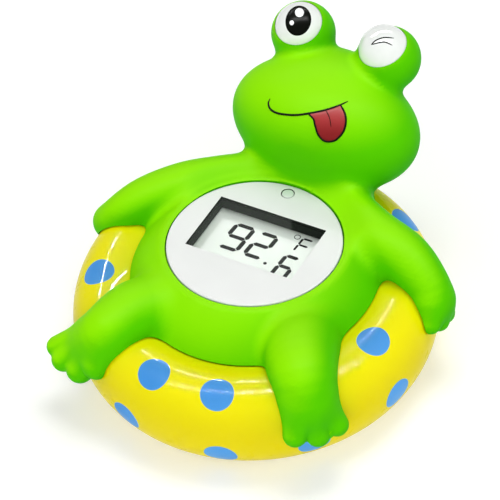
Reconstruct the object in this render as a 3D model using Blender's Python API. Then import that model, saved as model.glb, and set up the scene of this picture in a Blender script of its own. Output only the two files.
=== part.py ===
"""Bath thermometer shaped as a frog lounging in a swim ring, with a digital display in its belly.

Metres, +Z up. The frog faces -Y and its head lies toward +Y, so +X is the frog's own left. The origin is
the bottom centre of the bounding box. Dimensions below are in millimetres, from the ring's axis and the
floor, and the display capsule's are from the centre of the bezel's face.
"""

import math

import bmesh
import bpy
import numpy as np
from mathutils import Matrix

MM = 0.001
GAP = 0.35  # clearance between parts that rest against each other
WALL = 2.6  # soft vinyl skin of the frog
SHIFT = (0.078, -9.123)  # brings the bounding box's centre to the origin

# Swim ring: an egg-shaped tube, fuller toward the frog, on a flat foot
RING_R = 40.4
RING_OUT = 9.6
RING_IN = 14.4
RING_Z = 13.1
RING_TOP = 13.1
RING_LOW = 13.9
RING_WALL = 2.0
VENT_R = 1.3

# Frog figure: (centre, half-sizes) of the ellipsoids
BODY = ((0.0, 2.0, 12.4), (37.5, 37.6, 30.8))
CHEST = ((0.0, 27.0, 19.5), (24.5, 19.5, 15.5))
BELLY_FLAT = 35.05  # height at which the belly is levelled for the bezel
BELLY_SOFT = 1.2
# Clear space round the bezel: degrees at which it opens in the belly and in the head
DISH_FLARE = (52.0, 0.0)
DISH_EDGE = 0.65  # from the bezel's edge
DISH_LOW = 0.4  # over the bezel's face
DISH_SOFT = 1.6
HEAD = ((0.0, 45.3, 41.5), (27.4, 18.0, 18.0))
HEAD_TILT = -28.0
BROW = ((0.0, 53.2, 51.0), (14.0, 8.5, 6.6))
BUMP_C = (13.0, 59.4, 58.0)
BUMP_R = 8.9
EYE_FACING = (0.0, -0.39, 0.92)
WINK_ASIDE = (-0.58, 0.28, 0.5)
EYE_OUT = 3.4
EYE_R = 7.0

# Limbs: chains of (x, y, z, radius); right is -X
ARM_RIGHT = (
    (-14.5, 27.4, 29.5, 7.4), (-21.6, 22.2, 30.5, 7.0), (-29.3, 16.1, 31.0, 6.8),
    (-37.5, 9.7, 29.0, 6.2), (-43.1, 4.7, 26.0, 5.0), (-47.0, 3.2, 22.0, 4.0),
)
ARM_LEFT = (
    (11.4, 28.7, 29.5, 7.6), (26.2, 20.6, 31.5, 7.0), (37.5, 17.8, 29.5, 6.7),
    (45.9, 14.1, 25.4, 5.4), (48.5, 12.1, 21.7, 4.2),
)
LEG_RIGHT = (
    (-14.7, -18.7, 24.0, 9.3), (-21.2, -26.6, 26.5, 8.4),
    (-24.3, -35.0, 26.4, 7.3), (-27.9, -37.2, 22.6, 6.1),
)
LEG_LEFT = (
    (23.5, -14.1, 24.0, 9.3), (26.3, -22.5, 27.0, 9.4),
    (30.9, -29.6, 28.4, 8.1), (34.3, -33.8, 23.6, 6.7),
)
# Fingers and toes: (tip x, y, z, tip radius), each from the last point of its limb
FINGERS_RIGHT = ((-47.0, 4.0, 17.5, 2.4), (-49.7, 4.6, 16.5, 2.4), (-51.7, 6.6, 17.0, 2.3))
FINGERS_LEFT = ((49.3, 7.3, 19.4, 2.7), (49.9, 11.0, 17.1, 2.7), (49.8, 14.4, 17.0, 2.9))
TOES_RIGHT = (
    (-39.2, -39.3, 17.7, 3.0), (-36.1, -41.7, 16.3, 3.3), (-30.5, -42.6, 15.9, 3.8),
    (-25.1, -42.3, 19.6, 3.8),
)
TOES_LEFT = ((33.0, -40.1, 17.3, 3.3), (37.6, -36.3, 15.6, 3.3), (41.0, -32.1, 16.8, 3.2))
DIGIT_ROOT = 0.9  # how much thicker a digit is at its root
DIGIT_SPREAD = 0.5  # share of the tips' spread that the roots have
SWEEP_STEPS = 4
SWEEP_SOFT = 0.8
SWEEP_FAT = 0.6

# Display capsule, in the frame of the bezel's face, from the window outward and down
BEZEL_C = (0.0, 2.35, 35.0)
BEZEL_TILT = -2.4
WIN_X = (-16.5, 15.5)
WIN_Y = (-8.4, 11.9)
WIN_CLEAR = 0.25  # the clear window inside its opening
BEZEL_RIM = 3.357  # from the opening's furthest corner to the bezel's edge
BEZEL_R = math.hypot(max(abs(x) for x in WIN_X), max(abs(y) for y in WIN_Y)) + BEZEL_RIM
BEZEL_T = 0.8
BEZEL_ROUND = 0.5
SKIRT_T = 1.1
SKIRT_LOW = 2.4
LCD_Z = -4.2
LCD_T = 1.9
LCD_MARGIN = 0.4
SURROUND_T = 0.7
FIT = 0.25  # between stacked electronic parts
STRIP_H = 1.55
STRIP_W = 1.6
BOARD_T = 1.0
BOARD_ROOM = 0.95  # under the board
SHELL_T = 1.3
TRAY_INSET = 0.8  # tray's side inside the bezel's edge
TRAY_R = BEZEL_R - TRAY_INSET
TRAY_TOP = -SKIRT_LOW - 0.4
BOARD_CLEAR = 0.7
BOARD_R = TRAY_R - SHELL_T - BOARD_CLEAR
BOARD_TOP = LCD_Z - LCD_T - 2 * FIT - STRIP_H
BOARD_LOW = BOARD_TOP - BOARD_T
TRAY_LOW = BOARD_LOW - BOARD_ROOM - SHELL_T
LED_R = 1.9
LED_EDGE = 0.4  # the light's axis inside the board's edge
LED_XY = (-0.6, BOARD_R - LED_EDGE)
LIGHT_STEM_R = 0.75
LAMP_BACK = 0.4  # the lamp behind the light's axis
LAMP_HALF = 0.8
LAMP_H = 0.8
CELL_R = 5.8
CELL_H = 5.4
CELL_GAP = 0.3
CUP_IN = CELL_R + 0.3
CUP_OUT = CUP_IN + 0.9
DOOR_R = CELL_R + 0.8
DOOR_LIP = 1.7
PROBE_R = 1.9
PROBE_WALL = 0.35
PROBE_UP = 7.0
STEM_ROOM = 7.6  # beside and between the battery cup and the probe
STEM_R = CUP_OUT + PROBE_R + STEM_ROOM / 2 + SHELL_T
STEM_LOW = -32.6
SEAL_R = 0.65
SEAL_UP = 5.6
BORE_R = STEM_R + 2 * SEAL_R + 0.6
CELL_XY = (CUP_OUT + 2.1 - STEM_R + SHELL_T, 0.0)
PROBE_XY = (STEM_R - SHELL_T - PROBE_R - 2.5, 0.0)
CHIP_R = 3.5
CHIP_XY = (CHIP_R + 1.2 - STEM_R + SHELL_T, -3.0)

NET = 2.7  # grid step of the figure's surface
NET_KEEP = 0.135  # share of its triangles kept
NET_CORE = 6.0  # grid step of the hollow inside it
CORE_KEEP = 0.2

for old in list(bpy.data.objects):
    bpy.data.objects.remove(old, do_unlink=True)


def material(name, colour, rough, metal=0.0):
    made = bpy.data.materials.new(name)
    made.use_nodes = True
    shader = made.node_tree.nodes["Principled BSDF"]
    shader.inputs["Base Color"].default_value = (*colour, 1.0)
    shader.inputs["Roughness"].default_value = rough
    shader.inputs["Metallic"].default_value = metal
    return made


TILT = Matrix.Rotation(math.radians(BEZEL_TILT), 4, "X")
CAPSULE = Matrix.Translation(BEZEL_C) @ TILT
PLACE = Matrix.Scale(MM, 4) @ Matrix.Translation((*SHIFT, 0.0))


def node(name, mesh, look, local=True, cutter=False):
    """Adds a bmesh given in millimetres, in the capsule's frame when local, as an object in metres."""
    mesh.transform(PLACE @ CAPSULE if local else PLACE)
    bmesh.ops.recalc_face_normals(mesh, faces=mesh.faces)
    data = bpy.data.meshes.new(name)
    mesh.to_mesh(data)
    mesh.free()
    made = bpy.data.objects.new(name, data)
    bpy.context.scene.collection.objects.link(made)
    if look is not None:
        data.materials.append(look)
    if cutter:
        made.hide_render = True
        made.display_type = "WIRE"
    return made


def thin(target, ratio):
    modifier = target.modifiers.new("thin", "DECIMATE")
    modifier.ratio = ratio


def cut(target, tool, how="DIFFERENCE"):
    modifier = target.modifiers.new(how.lower() + "_" + tool.name, "BOOLEAN")
    modifier.operation = how
    modifier.solver = "EXACT"
    modifier.object = tool


def lathe(profile, segments, centre=(0.0, 0.0)):
    """Closed solid from an (r, z) outline: x = r cos t, y = r sin t. Points with r = 0 lie on the axis."""
    mesh = bmesh.new()
    rings = []
    for r, z in profile:
        if r < 1e-6:
            rings.append([mesh.verts.new((centre[0], centre[1], z))])
            continue
        angles = [2 * math.pi * k / segments for k in range(segments)]
        points = [(centre[0] + r * math.cos(a), centre[1] + r * math.sin(a), z) for a in angles]
        rings.append([mesh.verts.new(point) for point in points])
    for first, second in zip(rings, rings[1:] + rings[:1]):
        for k in range(segments):
            corners = []
            for corner in (
                first[k % len(first)],
                first[(k + 1) % len(first)],
                second[(k + 1) % len(second)],
                second[k % len(second)],
            ):
                if corner not in corners:
                    corners.append(corner)
            if len(corners) > 2:
                mesh.faces.new(corners)
    return mesh


def box(x0, x1, y0, y1, z0, z1, bevel=0.0):
    mesh = bmesh.new()
    bmesh.ops.create_cube(mesh, size=1.0)
    size = Matrix.Diagonal((x1 - x0, y1 - y0, z1 - z0, 1.0))
    mesh.transform(Matrix.Translation(((x0 + x1) / 2, (y0 + y1) / 2, (z0 + z1) / 2)) @ size)
    if bevel:
        bmesh.ops.bevel(mesh, geom=list(mesh.edges), offset=bevel, segments=2, affect="EDGES", profile=0.5)
    return mesh


def tube(points, radius, sides=8):
    """Round wire along a polyline, with flat ends."""
    path = np.array(points, float)
    mesh = bmesh.new()
    rings = []
    for k in range(len(path)):
        ahead = path[min(k + 1, len(path) - 1)] - path[max(k - 1, 0)]
        ahead /= np.linalg.norm(ahead)
        side = np.cross(ahead, (0.0, 1.0, 0.0))
        side /= np.linalg.norm(side)
        up = np.cross(side, ahead)
        angles = np.arange(sides) * 2 * math.pi / sides
        points = [path[k] + radius * (math.cos(a) * side + math.sin(a) * up) for a in angles]
        rings.append([mesh.verts.new(point) for point in points])
    for first, second in zip(rings, rings[1:]):
        for k in range(sides):
            mesh.faces.new((first[k], first[(k + 1) % sides], second[(k + 1) % sides], second[k]))
    mesh.faces.new(rings[0][::-1])
    mesh.faces.new(rings[-1])
    return mesh


# Signed distances of the figure, in millimetres
def ellipsoid(points, centre, half, tilt=0.0):
    """|q/r| (|q/r| - 1) / |q/r^2|, with q the point from the centre, turned about X by the tilt."""
    offset = points - np.array(centre)
    if tilt:
        c = math.cos(math.radians(tilt))
        s = math.sin(math.radians(tilt))
        x, y, z = (offset[..., k] for k in range(3))
        offset = np.stack([x, y * c + z * s, z * c - y * s], -1)
    near = np.linalg.norm(offset / np.array(half), axis=-1)
    slope = np.linalg.norm(offset / np.array(half) ** 2, axis=-1)
    return near * (near - 1.0) / np.maximum(slope, 1e-9)


def blend(a, b, k):
    """Smooth minimum: b + (a - b) h - k h (1 - h), with h = 1/2 + (b - a) / 2k held in 0..1."""
    h = np.clip(0.5 + 0.5 * (b - a) / k, 0.0, 1.0)
    return b * (1.0 - h) + a * h - k * h * (1.0 - h)


def cone(points, first, last):
    """Distance to the segment from first to last, less a radius that runs evenly between theirs."""
    a = np.array(first[:3])
    b = np.array(last[:3])
    t = np.clip((points - a) @ (b - a) / ((b - a) @ (b - a)), 0.0, 1.0)
    far = np.linalg.norm(points - a - t[..., None] * (b - a), axis=-1)
    return far - (first[3] + (last[3] - first[3]) * t)


def sweep(points, chain):
    """Tube along a Catmull-Rom curve through the chain: FAT - k log(sum exp(-d / k)) over the cones between
    points of the curve."""
    knots = np.array(chain)
    knots = np.vstack([2 * knots[0] - knots[1], knots, 2 * knots[-1] - knots[-2]])
    u = np.linspace(0, len(chain) - 1, SWEEP_STEPS * (len(chain) - 1) + 1)
    k = np.minimum(u.astype(int), len(chain) - 2)
    t = (u - k)[:, None]
    a, b, c, d = (knots[k + n] for n in range(4))
    curve = b + 0.5 * t * (c - a + t * (2 * a - 5 * b + 4 * c - d + t * (3 * b - a - 3 * c + d)))
    total = sum(np.exp(-cone(points, first, last) / SWEEP_SOFT) for first, last in zip(curve, curve[1:]))
    return SWEEP_FAT - SWEEP_SOFT * np.log(total)


def limb(points, chain, digits, web, palm):
    """Swept limb with digits that start side by side in its end, spread by a share of their tips' places."""
    tips = np.array(digits)
    roots = tips + np.array([0.0, 0.0, 0.0, DIGIT_ROOT])
    roots[:, :3] = chain[-1][:3] + DIGIT_SPREAD * (tips[:, :3] - tips[:, :3].mean(0))
    fan = cone(points, roots[0], tips[0])
    for root, tip in zip(roots[1:], tips[1:]):
        fan = blend(fan, cone(points, root, tip), web)
    return blend(sweep(points, chain), fan, palm)


def trunk(points, arms=False):
    """Belly levelled for the bezel, chest and arms, cleared round the bezel."""
    mirrored = np.concatenate([np.abs(points[..., :1]), points[..., 1:]], -1)
    ahead = points[..., 1] - BEZEL_C[1]
    level = ahead * math.tan(math.radians(BEZEL_TILT)) + BELLY_FLAT
    shape = -blend(-ellipsoid(mirrored, *BODY), level - points[..., 2], BELLY_SOFT)
    shape = blend(shape, ellipsoid(mirrored, *CHEST), 6.0)
    if arms:
        shape = blend(shape, limb(points, ARM_RIGHT, FINGERS_RIGHT, 0.7, 3.5), 4.0)
        shape = blend(shape, limb(points, ARM_LEFT, FINGERS_LEFT, 0.7, 3.5), 5.0)
    return clear_bezel(points, shape, DISH_FLARE[0])


def clear_bezel(points, shape, flare):
    """Takes from the shape a dish that opens upward at the flare from round the bezel's face."""
    c = math.cos(math.radians(BEZEL_TILT))
    s = math.sin(math.radians(BEZEL_TILT))
    ahead = points[..., 1] - BEZEL_C[1]
    above = points[..., 2] - BEZEL_C[2]
    up = above * c - ahead * s
    out = np.hypot(points[..., 0], ahead * c + above * s) - BEZEL_R - DISH_EDGE
    side = up * math.sin(math.radians(flare)) - out * math.cos(math.radians(flare))
    dish = -blend(side, up - DISH_LOW, DISH_SOFT)
    return -blend(-shape, dish, DISH_SOFT)


def head(points, shape):
    mirrored = np.concatenate([np.abs(points[..., :1]), points[..., 1:]], -1)
    skull = blend(ellipsoid(mirrored, *HEAD, HEAD_TILT), ellipsoid(mirrored, *BROW), 6.5)
    return clear_bezel(points, blend(shape, skull, 5.0), DISH_FLARE[1])


def core(points, inset=0.0):
    return head(points, trunk(points)) + inset


def figure(points):
    mirrored = np.concatenate([np.abs(points[..., :1]), points[..., 1:]], -1)
    shape = head(points, trunk(points, arms=True))
    shape = blend(shape, np.linalg.norm(mirrored - np.array(BUMP_C), axis=-1) - BUMP_R, 3.0)
    shape = blend(shape, limb(points, LEG_RIGHT, TOES_RIGHT, 1.0, 4.0), 3.5)
    return blend(shape, limb(points, LEG_LEFT, TOES_LEFT, 0.6, 3.5), 3.5)


def skin(field, low, high, step):
    """Surface of field = 0 by marching tetrahedra: each grid cube splits into six tetrahedra along its main
    diagonal, and each of those gives one or two triangles through the linear crossings of its edges. Newton
    steps p - f grad f / |grad f|^2 then bring the points onto the surface."""
    axes = [np.arange(a, b + step, step) for a, b in zip(low, high)]
    grid = np.stack(np.meshgrid(*axes, indexing="ij"), -1)
    shape = np.array(grid.shape[:3])
    value = field(grid).ravel()
    points = grid.reshape(-1, 3)
    stride = np.array([shape[1] * shape[2], shape[2], 1])
    base = (np.stack(np.meshgrid(*[np.arange(n - 1) for n in shape], indexing="ij"), -1) @ stride).ravel()
    faces = []
    for order in ((0, 1, 2), (0, 2, 1), (1, 0, 2), (1, 2, 0), (2, 0, 1), (2, 1, 0)):
        tet = base[:, None] + np.concatenate([[0], np.cumsum(stride[list(order)])])
        count = (value[tet] < 0).sum(1)
        tet = tet[(count > 0) & (count < 4)]
        rank = np.argsort(value[tet] >= 0, axis=1, kind="stable")
        tet = np.take_along_axis(tet, rank, 1)
        count = (value[tet] < 0).sum(1)
        for inside, loop in (
            (1, ((0, 1), (0, 2), (0, 3))),
            (3, ((0, 3), (1, 3), (2, 3))),
            (2, ((0, 2), (0, 3), (1, 3))),
            (2, ((0, 2), (1, 3), (1, 2))),
        ):
            some = tet[count == inside]
            out = points[some[:, inside:]].mean(1) - points[some[:, :inside]].mean(1)
            ends = np.stack([some[:, list(pair)] for pair in loop], 1)
            mid = points[ends].mean(2)
            turned = (np.cross(mid[:, 1] - mid[:, 0], mid[:, 2] - mid[:, 0]) * out).sum(1) < 0
            ends[turned] = ends[turned][:, ::-1]
            faces.append(ends)
    ends = np.sort(np.concatenate(faces), axis=2)
    edges, index = np.unique(ends.reshape(-1, 2), axis=0, return_inverse=True)
    first = value[edges[:, 0]]
    t = np.clip(first / (first - value[edges[:, 1]]), 0.02, 0.98)[:, None]
    verts = points[edges[:, 0]] * (1 - t) + points[edges[:, 1]] * t
    for _ in range(3):
        f = field(verts)
        slope = np.stack([field(verts + e) - field(verts - e) for e in 0.05 * np.eye(3)], -1) / 0.1
        move = f[:, None] * slope / np.maximum((slope**2).sum(-1), 0.2)[:, None]
        verts -= np.clip(move, -0.3 * step, 0.3 * step)
    return verts, index.reshape(-1, 3)


def as_bmesh(verts, faces):
    mesh = bmesh.new()
    made = [mesh.verts.new(v) for v in verts]
    for face in faces:
        mesh.faces.new([made[k] for k in face])
    return mesh


# Materials
green_vinyl = material("green_vinyl", (0.088, 0.565, 0.004), 0.42)
yellow_vinyl = material("yellow_vinyl", (0.87, 0.787, 0.012), 0.16)
eye_white = material("eye_white", (0.83, 0.85, 0.82), 0.12)
bezel_white = material("bezel_white", (0.9, 0.9, 0.88), 0.3)
clear_window = material("clear_window", (0.9, 0.95, 0.92), 0.05)
black_plastic = material("black_plastic", (0.018, 0.02, 0.018), 0.4)
lcd_panel = material("lcd_panel", (0.62, 0.7, 0.6), 0.2)
zebra_rubber = material("zebra_rubber", (0.5, 0.16, 0.14), 0.6)
board_green = material("board_green", (0.02, 0.18, 0.07), 0.45)
resin_black = material("resin_black", (0.012, 0.012, 0.012), 0.35)
led_body = material("led_body", (0.75, 0.62, 0.25), 0.3)
lens_milky = material("lens_milky", (0.75, 0.83, 0.75), 0.25)
capsule_white = material("capsule_white", (0.75, 0.75, 0.73), 0.4)
seal_rubber = material("seal_rubber", (0.03, 0.03, 0.03), 0.6)
cell_steel = material("cell_steel", (0.6, 0.6, 0.6), 0.25, 1.0)
contact_nickel = material("contact_nickel", (0.7, 0.68, 0.62), 0.3, 1.0)
cup_plastic = material("cup_plastic", (0.4, 0.4, 0.42), 0.5)
door_plastic = material("door_plastic", (0.72, 0.72, 0.7), 0.4)
probe_steel = material("probe_steel", (0.66, 0.66, 0.66), 0.22, 1.0)
bead_epoxy = material("bead_epoxy", (0.05, 0.03, 0.02), 0.4)
wire_red = material("wire_red", (0.55, 0.03, 0.03), 0.5)
wire_blue = material("wire_blue", (0.04, 0.08, 0.45), 0.5)

# Swim ring, hollow, with a vent in its underside


def ring_outline(spread, count, floor):
    """Egg: r = R + w cos t, z = Z + h sin t, with w and h set by the quarter, cut flat at the floor."""
    points = []
    for k in range(count):
        t = 2 * math.pi * k / count
        wide = (RING_OUT if math.cos(t) > 0 else RING_IN) + spread
        tall = (RING_TOP if math.sin(t) > 0 else RING_LOW) + spread
        points.append((RING_R + wide * math.cos(t), max(floor, RING_Z + tall * math.sin(t))))
    return points


swim_ring = node("swim_ring", lathe(ring_outline(0.0, 22, 0.0), 52), yellow_vinyl, local=False)
ring_air = lathe(ring_outline(-RING_WALL, 12, RING_WALL), 32)
ring_hollow = node("ring_hollow", ring_air, None, local=False, cutter=True)
vent = lathe([(0, -1), (VENT_R, -1), (VENT_R, 5), (0, 5)], 12, (RING_R, 0.0))
vent_cut = node("vent_cut", vent, None, local=False, cutter=True)
cut(swim_ring, ring_hollow)
cut(swim_ring, vent_cut)

# Frog: solid limbs on a hollow body and head, seated on the ring and open underneath for the capsule
figure_mesh = as_bmesh(*skin(figure, (-60, -54, -22), (60, 76, 74), NET))
frog_body = node("frog_body", figure_mesh, green_vinyl, local=False)
thin(frog_body, NET_KEEP)
seat = [(0.0, -30.0), (RING_R + RING_OUT + GAP, -30.0)]
for k in range(17):
    t = math.pi * k / 16
    wide = (RING_OUT if k < 8 else RING_IN) + GAP
    seat.append((RING_R + wide * math.cos(t), RING_Z + (RING_TOP + GAP) * math.sin(t)))
PLUG_R = seat[-1][0] - 2 * GAP
seat[-1] = (PLUG_R, RING_Z - 0.5)
seat += [(PLUG_R, 3.0), (PLUG_R - 1.5, 1.5), (0.0, 1.5)]
seat_cut = node("seat_cut", lathe(seat, 52), None, local=False, cutter=True)
cut(frog_body, seat_cut)


def hollow(points):
    return np.maximum(core(points, WALL), 4.2 - points[..., 2])


hollow_mesh = as_bmesh(*skin(hollow, (-42, -42, -6), (42, 72, 68), NET_CORE))
frog_hollow = node("frog_hollow", hollow_mesh, None, local=False, cutter=True)
thin(frog_hollow, CORE_KEEP)
plug_hollow = [(0.0, 4.2), (PLUG_R - WALL, 4.2), (PLUG_R - WALL, RING_Z)]
for k in range(9):
    t = math.pi - math.pi * k / 16
    plug_hollow.append((RING_R + (RING_IN + WALL) * math.cos(t), RING_Z + (RING_TOP + WALL) * math.sin(t)))
plug_hollow += [(RING_R, 60.0), (60.0, 60.0), (60.0, 80.0), (0.0, 80.0)]
hollow_bound = node("hollow_bound", lathe(plug_hollow, 36), None, local=False, cutter=True)
cut(frog_hollow, hollow_bound, "INTERSECT")
cut(frog_body, frog_hollow)
bore = [(0.0, -60.0), (BORE_R, -60.0), (BORE_R, TRAY_LOW - GAP), (TRAY_R + GAP, TRAY_LOW - GAP)]
bore += [(TRAY_R + GAP, -SKIRT_LOW - GAP), (BEZEL_R + GAP, -SKIRT_LOW - GAP)]
bore += [(BEZEL_R + GAP, 6.0), (0.0, 6.0)]
bore_cut = node("bore_cut", lathe(bore, 40), None, cutter=True)
cut(frog_body, bore_cut)

# Eyes: glossy balls pressed into sockets on the two bumps
facing = np.array(EYE_FACING) / np.linalg.norm(EYE_FACING)
for side, sign in (("right", -1.0), ("left", 1.0)):
    centre = np.array(BUMP_C) * (sign, 1.0, 1.0) + facing * EYE_OUT + np.array(WINK_ASIDE) * (sign > 0)
    for kind, radius, segments in (("eye_ball_", EYE_R, 20), ("eye_socket_", EYE_R + GAP, 16)):
        arc = [math.pi * (k / 10 - 0.5) for k in range(11)]
        ball = lathe([(radius * math.cos(a), radius * math.sin(a)) for a in arc], segments)
        turn = Matrix.Rotation(math.atan2(-facing[1], facing[2]), 4, "X")
        ball.transform(Matrix.Translation(centre) @ turn)
        made = node(kind + side, ball, eye_white, local=False, cutter=kind == "eye_socket_")
        if kind == "eye_socket_":
            cut(frog_body, made)

# Bezel with its display opening and the alarm light's hole
SKIRT_IN = BEZEL_R - SKIRT_T
skirt = [(0.0, -BEZEL_T), (SKIRT_IN, -BEZEL_T), (SKIRT_IN, -SKIRT_LOW), (BEZEL_R, -SKIRT_LOW)]
skirt += [(BEZEL_R, -BEZEL_ROUND), (BEZEL_R - 0.3 * BEZEL_ROUND, -0.3 * BEZEL_ROUND)]
skirt += [(BEZEL_R - BEZEL_ROUND, 0.0), (0.0, 0.0)]
bezel = node("bezel", lathe(skirt, 48), bezel_white)
opening = node("window_cut", box(*WIN_X, *WIN_Y, -3.0, 2.0), None, cutter=True)
cut(bezel, opening)
led_hole = lathe([(0, -3), (LED_R, -3), (LED_R, 2), (0, 2)], 24, LED_XY)
led_cut = node("led_cut", led_hole, None, cutter=True)
cut(bezel, led_cut)

# Display stack


def window_box(spread, low, high, bevel=0.0):
    """Box over the display opening, grown by the spread on its four sides."""
    x = (WIN_X[0] - spread, WIN_X[1] + spread)
    y = (WIN_Y[0] - spread, WIN_Y[1] + spread)
    return box(*x, *y, low, high, bevel)


node("window_lens", window_box(-WIN_CLEAR, -BEZEL_T - 0.05, -0.08, 0.1), clear_window)
surround = node("display_surround", window_box(SURROUND_T, LCD_Z + 0.15, -BEZEL_T - 0.35), black_plastic)
surround_cut = node("surround_cut", window_box(0.0, LCD_Z - 3.0, 2.0), None, cutter=True)
cut(surround, surround_cut)
node("lcd_glass", window_box(LCD_MARGIN, LCD_Z - LCD_T, LCD_Z - 0.15, 0.15), lcd_panel)
for name, y in (("zebra_strip_front", WIN_Y[0] + 0.3), ("zebra_strip_rear", WIN_Y[1] - 0.3 - STRIP_W)):
    strip = box(WIN_X[0] + 0.5, WIN_X[1] - 0.5, y, y + STRIP_W, BOARD_TOP + FIT, LCD_Z - LCD_T - FIT)
    node(name, strip, zebra_rubber)
board = [(0, BOARD_LOW), (BOARD_R, BOARD_LOW), (BOARD_R, BOARD_TOP), (0, BOARD_TOP)]
node("circuit_board", lathe(board, 40), board_green)
CHIP_TOP = BOARD_LOW - FIT
blob = [(0, CHIP_TOP - 1.2), (0.5 * CHIP_R, CHIP_TOP - 1.1), (0.83 * CHIP_R, CHIP_TOP - 0.7)]
blob += [(CHIP_R, CHIP_TOP), (0, CHIP_TOP)]
node("chip_cover", lathe(blob, 20, CHIP_XY), resin_black)
LAMP_TOP = BOARD_TOP + FIT + LAMP_H
LAMP_X = (LED_XY[0] - LAMP_HALF, LED_XY[0] + LAMP_HALF)
LAMP_Y = (LED_XY[1] - LAMP_BACK - LAMP_HALF, LED_XY[1] - LAMP_BACK + LAMP_HALF)
lamp = box(*LAMP_X, *LAMP_Y, BOARD_TOP + FIT, LAMP_TOP, 0.15)
node("alarm_led", lamp, led_body)
LENS_R = LED_R - FIT
lens = [(0, LAMP_TOP + FIT), (LIGHT_STEM_R, LAMP_TOP + FIT), (LIGHT_STEM_R, -BEZEL_T - 0.4)]
lens += [(LENS_R, -BEZEL_T - 0.4), (LENS_R, -0.15), (LENS_R - 0.2, 0.0), (0, 0.05)]
node("led_lens", lathe(lens, 24, LED_XY), lens_milky)

# Capsule: a shallow tray for the board and a stem that runs down through the frog to the water side
shell = [(0, STEM_LOW), (STEM_R - 0.6, STEM_LOW), (STEM_R, STEM_LOW + 0.6), (STEM_R, TRAY_LOW)]
shell += [(TRAY_R, TRAY_LOW), (TRAY_R, TRAY_TOP)]
shell += [(TRAY_R - SHELL_T, TRAY_TOP), (TRAY_R - SHELL_T, TRAY_LOW + SHELL_T)]
shell += [(STEM_R - SHELL_T, TRAY_LOW + SHELL_T)]
shell += [(STEM_R - SHELL_T, STEM_LOW + SHELL_T), (0, STEM_LOW + SHELL_T)]
capsule = node("capsule_housing", lathe(shell, 36), capsule_white)
DOOR_NECK = DOOR_R - DOOR_LIP
door_hole = [(0, -40), (DOOR_R + GAP, -40), (DOOR_R + GAP, STEM_LOW + 0.7), (DOOR_NECK + 0.3, STEM_LOW + 0.7)]
door_hole += [(DOOR_NECK + 0.3, STEM_LOW + 4.0), (0, STEM_LOW + 4.0)]
door_cut = node("door_cut", lathe(door_hole, 28, CELL_XY), None, cutter=True)
cut(capsule, door_cut)
probe_hole = [(0, -40), (PROBE_R + 0.3, -40), (PROBE_R + 0.3, STEM_LOW + 4.0), (0, STEM_LOW + 4.0)]
probe_cut = node("probe_cut", lathe(probe_hole, 16, PROBE_XY), None, cutter=True)
cut(capsule, probe_cut)


def o_ring(major, minor, z, segments, centre=(0.0, 0.0)):
    angles = [2 * math.pi * k / 8 for k in range(8)]
    return lathe([(major + minor * math.cos(a), z + minor * math.sin(a)) for a in angles], segments, centre)


node("housing_seal", o_ring(STEM_R + SEAL_R + 0.3, SEAL_R, STEM_LOW + SEAL_UP, 32), seal_rubber)

# Battery: two button cells stacked in a cup, behind a round door in the underside
BASE = STEM_LOW + SHELL_T
CUP_TOP = BASE + 2 * (CELL_H + CELL_GAP) + 2.2
cup = [(CUP_IN, BASE + 0.3), (CUP_OUT, BASE + 0.3), (CUP_OUT, CUP_TOP), (CUP_IN, CUP_TOP)]
node("battery_cup", lathe(cup, 28, CELL_XY), cup_plastic)
plate = [(0, BASE + 0.4), (CELL_R - 1.2, BASE + 0.4), (CELL_R - 1.2, BASE + 0.7), (0, BASE + 0.7)]
node("contact_base", lathe(plate, 24, CELL_XY), contact_nickel)
for k, name in enumerate(("battery_cell_lower", "battery_cell_upper")):
    z = BASE + 1.0 + k * (CELL_H + CELL_GAP)
    cell = [(0, z), (CELL_R - 0.9, z), (CELL_R - 0.8, z + 0.7), (CELL_R, z + 1.0)]
    cell += [(CELL_R, z + CELL_H - 0.3), (CELL_R - 0.3, z + CELL_H), (0, z + CELL_H)]
    node(name, lathe(cell, 24, CELL_XY), cell_steel)
z = BASE + 1.0 + 2 * (CELL_H + CELL_GAP)
plate = [(0, z), (CELL_R - 1.6, z), (CELL_R - 1.6, z + 0.3), (0, z + 0.3)]
node("contact_top", lathe(plate, 24, CELL_XY), contact_nickel)
LIP = STEM_LOW + 0.4
door = [(0, STEM_LOW - 0.3), (DOOR_R - 0.3, STEM_LOW - 0.3), (DOOR_R, STEM_LOW), (DOOR_R, LIP)]
door += [(DOOR_NECK, LIP), (DOOR_NECK, BASE + 0.1), (0, BASE + 0.1)]
battery_door = node("battery_door", lathe(door, 28, CELL_XY), door_plastic)
coin_slot = box(CELL_XY[0] - 3.4, CELL_XY[0] + 3.4, -0.7, 0.7, STEM_LOW - 2.0, STEM_LOW + 0.5)
slot_cut = node("slot_cut", coin_slot, None, cutter=True)
cut(battery_door, slot_cut)

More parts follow.
